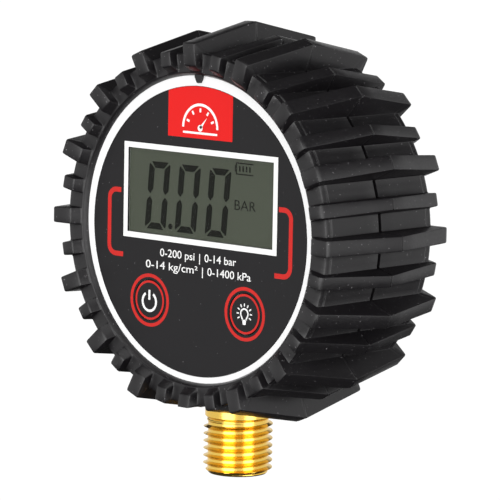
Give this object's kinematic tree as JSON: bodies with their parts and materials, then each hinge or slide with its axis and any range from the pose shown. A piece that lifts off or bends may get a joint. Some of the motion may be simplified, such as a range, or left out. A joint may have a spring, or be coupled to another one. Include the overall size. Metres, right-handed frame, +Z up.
{
  "type": "tire pressure gauge",
  "caption": "Round digital tire pressure gauge in a tyre-shaped rubber boot, with a display window, press buttons and a threaded brass inlet at the bottom.",
  "frame": {"origin": "centre of the threaded stem's free end, on the stem's axis", "axes": "+Z up the stem's axis towards the dial, -Y the way the dial faces, +X to the reader's right"},
  "size_m": [0.0778, 0.0344, 0.0867],
  "materials": {
    "boot_rubber": "semi-matt moulded rubber, near black",
    "white_case": "glossy white moulded plastic",
    "black_case": "fine-textured black moulded plastic",
    "label": "satin black printed label",
    "lens": "clear acrylic window",
    "lcd": "olive-grey reflective display glass",
    "light_guide": "milky light guide",
    "inner_plastic": "natural moulded plastic",
    "seal_rubber": "black seal rubber",
    "connector_rubber": "grey conductive elastomer",
    "board": "green solder mask",
    "component": "black epoxy",
    "switch": "black switch body",
    "button": "satin black cap with printed red ring",
    "brass": "bright turned brass",
    "steel": "plated steel",
    "sensor_steel": "stainless steel can",
    "nickel": "nickel plated",
    "cell_jacket": "plain dark printed cell jacket",
    "wire": "PVC wire jacket"
  },
  "bodies": {
    "gauge": {"rubber_boot": "boot_rubber", "front_housing": "white_case", "rear_housing": "black_case", "case_screws": "steel", "label_overlay": "label", "display_lens": "lens", "display_panel": "lcd", "backlight_panel": "light_guide", "display_frame": "inner_plastic", "elastomer_connector": "connector_rubber", "power_switch": "switch", "light_switch": "switch", "circuit_board": "board", "board_screws": "steel", "controller_blob": "component", "board_components": "component", "brass_stem": "brass", "sensor_oring": "seal_rubber", "pressure_sensor": "sensor_steel", "sensor_retainer": "brass", "sensor_leads": "wire", "cell_upper": "cell_jacket", "cell_lower": "cell_jacket", "contact_plates": "nickel", "contact_springs": "nickel", "battery_leads": "wire"},
    "power_button_cap": {"power_button": "button", "power_actuator": "inner_plastic"},
    "light_button_cap": {"light_button": "button", "light_actuator": "inner_plastic"},
    "door": {"battery_door": "black_case", "door_screw": "steel"}
  },
  "joints": [
    {"name": "power_button_press", "type": "slide", "parent": "gauge", "child": "power_button_cap", "axis": [0, 1, 0], "range_m": [0, 0.0004], "stiffness_N_per_m": 1500, "springref_m": -0.0004},
    {"name": "light_button_press", "type": "slide", "parent": "gauge", "child": "light_button_cap", "axis": [0, 1, 0], "range_m": [0, 0.0004], "stiffness_N_per_m": 1500, "springref_m": -0.0004},
    {"name": "battery_door_lift", "type": "slide", "parent": "gauge", "child": "door", "axis": [0, 1, 0], "range_m": [0, 0.03]}
  ]
}
